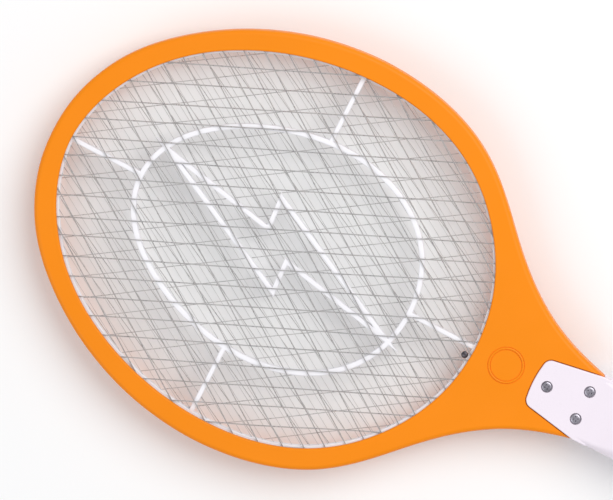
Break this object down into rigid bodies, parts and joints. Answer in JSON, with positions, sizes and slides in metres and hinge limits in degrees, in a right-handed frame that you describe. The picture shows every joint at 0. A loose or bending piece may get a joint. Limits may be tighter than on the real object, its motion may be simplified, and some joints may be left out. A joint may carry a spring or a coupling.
{
  "type": "electric fly swatter",
  "caption": "Racket-shaped electric fly swatter: orange oval frame holding layered wire nets and a white lattice, on a white battery handle.",
  "frame": {"origin": "under the middle of the bounding box, on the surface that the handle's underside rests on", "axes": "+X along the racket towards the end of the handle, +Z out of the front face, +Y across the head"},
  "size_m": [0.5, 0.2066, 0.0315],
  "materials": {
    "orange_plastic": "satin moulded plastic",
    "white_plastic": "satin moulded plastic",
    "lattice_plastic": "matt moulded plastic",
    "net_wire": "drawn galvanised wire",
    "screw_steel": "zinc plated",
    "contact_metal": "nickel plated",
    "black_plastic": "moulded",
    "board": "phenolic paper laminate",
    "ferrite": "sintered",
    "winding_tape": "polyester tape",
    "capacitor_resin": "dipped resin",
    "resistor_body": "lacquered",
    "led_red": "clear tinted epoxy",
    "cell_sleeve": "printed shrink sleeve",
    "lead_red": "pvc insulation",
    "lead_black": "pvc insulation"
  },
  "bodies": {
    "racket": {"front_frame": "orange_plastic", "rear_frame": "orange_plastic", "front_net": "net_wire", "centre_net": "net_wire", "rear_net": "net_wire", "front_spacer": "lattice_plastic", "rear_spacer": "lattice_plastic", "front_net_terminal": "screw_steel", "handle_front_shell": "white_plastic", "handle_rear_shell": "white_plastic", "led_spacer": "white_plastic", "switch_body": "black_plastic", "button_spring": "contact_metal", "indicator_led": "led_red", "circuit_board": "board", "transformer_core": "ferrite", "transformer_coil": "winding_tape", "hv_capacitor": "capacitor_resin", "diode_1": "black_plastic", "diode_2": "black_plastic", "diode_3": "black_plastic", "charge_resistor": "resistor_body", "bleed_resistor": "resistor_body", "switching_transistor": "black_plastic", "aa_cell_1": "cell_sleeve", "aa_cell_2": "cell_sleeve", "positive_contact": "contact_metal", "negative_contact": "contact_metal", "bridge_contact": "contact_metal", "front_net_lead": "lead_black", "centre_net_lead": "lead_red", "rear_net_lead": "lead_black", "positive_lead": "lead_red", "negative_lead": "lead_black", "tongue_screw_1": "screw_steel", "tongue_screw_2": "screw_steel", "tongue_screw_3": "screw_steel", "handle_screw_1": "screw_steel", "handle_screw_2": "screw_steel", "handle_screw_3": "screw_steel", "handle_screw_4": "screw_steel", "frame_screw_1": "screw_steel", "frame_screw_2": "screw_steel", "frame_screw_3": "screw_steel", "frame_screw_4": "screw_steel", "frame_screw_5": "screw_steel", "frame_screw_6": "screw_steel"},
    "button": {"push_button": "orange_plastic", "switch_plunger": "black_plastic"},
    "cover": {"battery_cover": "white_plastic"}
  },
  "joints": [
    {"name": "button_press", "type": "slide", "parent": "racket", "child": "button", "axis": [0, 0, -1], "range_m": [0, 0.0015], "stiffness_N_per_m": 600, "springref_m": -0.002, "deforming": ["button_spring"]},
    {"name": "cover_slide", "type": "slide", "parent": "racket", "child": "cover", "axis": [1, 0, 0], "range_m": [0, 0.065]}
  ]
}
